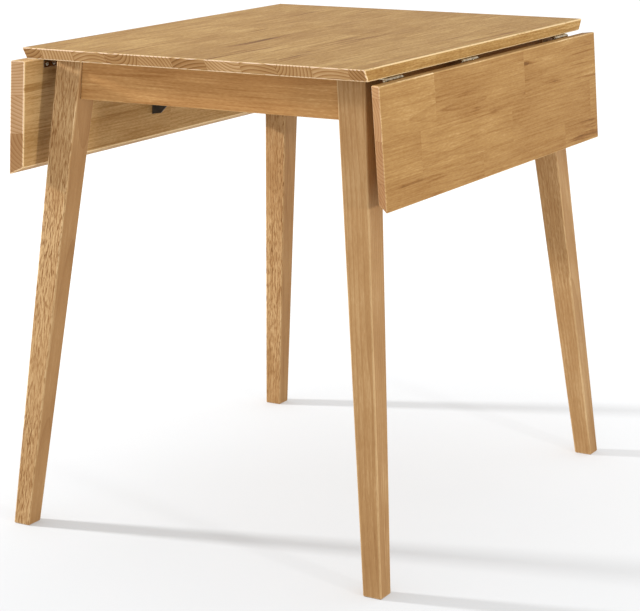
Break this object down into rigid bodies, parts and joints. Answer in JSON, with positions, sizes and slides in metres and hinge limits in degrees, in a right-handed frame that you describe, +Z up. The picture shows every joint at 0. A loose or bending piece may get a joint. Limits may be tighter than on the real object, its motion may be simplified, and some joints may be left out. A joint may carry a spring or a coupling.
{
  "type": "drop leaf table",
  "caption": "Wooden drop leaf dining table with splayed square legs and a hinged leaf on each long side, held level by slotted steel stays.",
  "frame": {"origin": "on the floor under the middle of the table", "axes": "+Z up, +X across the table towards the right leaf, +Y from the front to the back"},
  "size_m": [0.661, 0.786, 0.75],
  "materials": {
    "top_wood": "satin lacquer",
    "frame_wood": "satin lacquer",
    "block_wood": "raw",
    "hinge_steel": "nickel plated",
    "black_steel": "satin black",
    "zinc_fasteners": "zinc plated"
  },
  "bodies": {
    "frame": {"centre_panel": "top_wood", "front_apron": "frame_wood", "back_apron": "frame_wood", "left_side_apron": "frame_wood", "right_side_apron": "frame_wood", "front_left_leg": "frame_wood", "front_right_leg": "frame_wood", "back_left_leg": "frame_wood", "back_right_leg": "frame_wood", "front_left_corner_block": "block_wood", "front_right_corner_block": "block_wood", "back_left_corner_block": "block_wood", "back_right_corner_block": "block_wood", "front_left_hanger_bolt": "zinc_fasteners", "front_right_hanger_bolt": "zinc_fasteners", "back_left_hanger_bolt": "zinc_fasteners", "back_right_hanger_bolt": "zinc_fasteners", "front_left_bolt_washer": "zinc_fasteners", "front_right_bolt_washer": "zinc_fasteners", "back_left_bolt_washer": "zinc_fasteners", "back_right_bolt_washer": "zinc_fasteners", "front_left_bolt_nut": "zinc_fasteners", "front_right_bolt_nut": "zinc_fasteners", "back_left_bolt_nut": "zinc_fasteners", "back_right_bolt_nut": "zinc_fasteners", "left_front_hinge_frame_plate": "hinge_steel", "left_middle_hinge_frame_plate": "hinge_steel", "left_back_hinge_frame_plate": "hinge_steel", "right_front_hinge_frame_plate": "hinge_steel", "right_middle_hinge_frame_plate": "hinge_steel", "right_back_hinge_frame_plate": "hinge_steel", "left_front_hinge_pin": "hinge_steel", "left_middle_hinge_pin": "hinge_steel", "left_back_hinge_pin": "hinge_steel", "right_front_hinge_pin": "hinge_steel", "right_middle_hinge_pin": "hinge_steel", "right_back_hinge_pin": "hinge_steel", "left_stay_rail_bracket": "black_steel", "right_stay_rail_bracket": "black_steel", "left_stay_pivot_rivet": "black_steel", "right_stay_pivot_rivet": "black_steel"},
    "left_leaf": {"left_leaf": "top_wood", "left_stay_leaf_bracket": "black_steel", "left_front_hinge_leaf_plate": "hinge_steel", "left_middle_hinge_leaf_plate": "hinge_steel", "left_back_hinge_leaf_plate": "hinge_steel"},
    "right_leaf": {"right_leaf": "top_wood", "right_stay_leaf_bracket": "black_steel", "right_front_hinge_leaf_plate": "hinge_steel", "right_middle_hinge_leaf_plate": "hinge_steel", "right_back_hinge_leaf_plate": "hinge_steel"},
    "left_strut": {"left_stay_strut": "black_steel", "left_stay_slide_pin": "black_steel"},
    "right_strut": {"right_stay_strut": "black_steel", "right_stay_slide_pin": "black_steel"}
  },
  "joints": [
    {"name": "left_leaf_hinge", "type": "hinge", "parent": "frame", "child": "left_leaf", "pos_m": [-0.2935, 0, 0.7287], "axis": [0, 1, 0], "range_deg": [0, 86]},
    {"name": "right_leaf_hinge", "type": "hinge", "parent": "frame", "child": "right_leaf", "pos_m": [0.2935, 0, 0.7287], "axis": [0, -1, 0], "range_deg": [0, 86]},
    {"name": "left_stay_pivot", "type": "hinge", "parent": "frame", "child": "left_strut", "pos_m": [-0.272, 0, 0.7007], "axis": [0, 1, 0], "range_deg": [0, 86]},
    {"name": "right_stay_pivot", "type": "hinge", "parent": "frame", "child": "right_strut", "pos_m": [0.272, 0, 0.7007], "axis": [0, -1, 0], "range_deg": [0, 86]}
  ],
  "couplings": [
    {"joint": "left_stay_pivot", "follows": "left_leaf_hinge", "ratio": 1},
    {"joint": "right_stay_pivot", "follows": "right_leaf_hinge", "ratio": 1}
  ]
}
